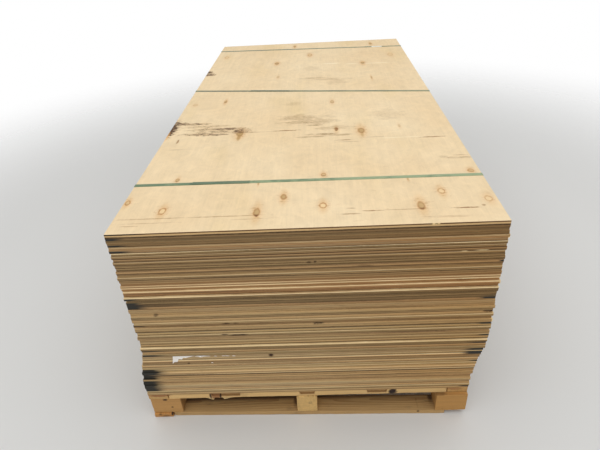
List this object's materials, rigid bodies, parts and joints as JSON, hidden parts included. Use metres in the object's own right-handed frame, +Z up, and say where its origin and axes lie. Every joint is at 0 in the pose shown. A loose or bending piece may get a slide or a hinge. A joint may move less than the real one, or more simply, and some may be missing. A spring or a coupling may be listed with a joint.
{
  "type": "strapped plywood stack",
  "caption": "Stack of plywood sheets lying flat on a wooden block pallet and held down with plastic straps, with fork openings on all four sides.",
  "frame": {"origin": "middle of the pallet's underside, at floor level", "axes": "+Z up; +Y along the sheets' length, away from the end that shows in the picture; +X to the right across their width"},
  "size_m": [1.291, 2.5153, 0.894],
  "materials": {
    "plywood_face": "matte",
    "plywood_edges": "matte",
    "pallet_blocks": "rough sawn",
    "pallet_boards": "rough sawn",
    "strap": "satin",
    "paper": "matte"
  },
  "bodies": {
    "root": {"far_strap": "strap", "middle_strap": "strap", "near_strap": "strap", "pallet_block_far_centre": "pallet_blocks", "pallet_block_far_left": "pallet_blocks", "pallet_block_far_right": "pallet_blocks", "pallet_block_middle_centre": "pallet_blocks", "pallet_block_middle_left": "pallet_blocks", "pallet_block_middle_right": "pallet_blocks", "pallet_block_near_centre": "pallet_blocks", "pallet_block_near_left": "pallet_blocks", "pallet_block_near_right": "pallet_blocks", "pallet_bottom_board_far": "pallet_boards", "pallet_bottom_board_middle": "pallet_boards", "pallet_bottom_board_near": "pallet_boards", "pallet_bottom_side_board_left": "pallet_boards", "pallet_bottom_side_board_right": "pallet_boards", "pallet_top_board_far": "pallet_boards", "pallet_top_board_middle": "pallet_boards", "pallet_top_board_near": "pallet_boards", "pallet_top_side_board_left": "pallet_boards", "pallet_top_side_board_right": "pallet_boards", "paper_scrap": "paper", "sheets_even": "plywood_edges", "sheets_odd": "plywood_edges", "top_sheet": "plywood_face"}
  },
  "joints": []
}
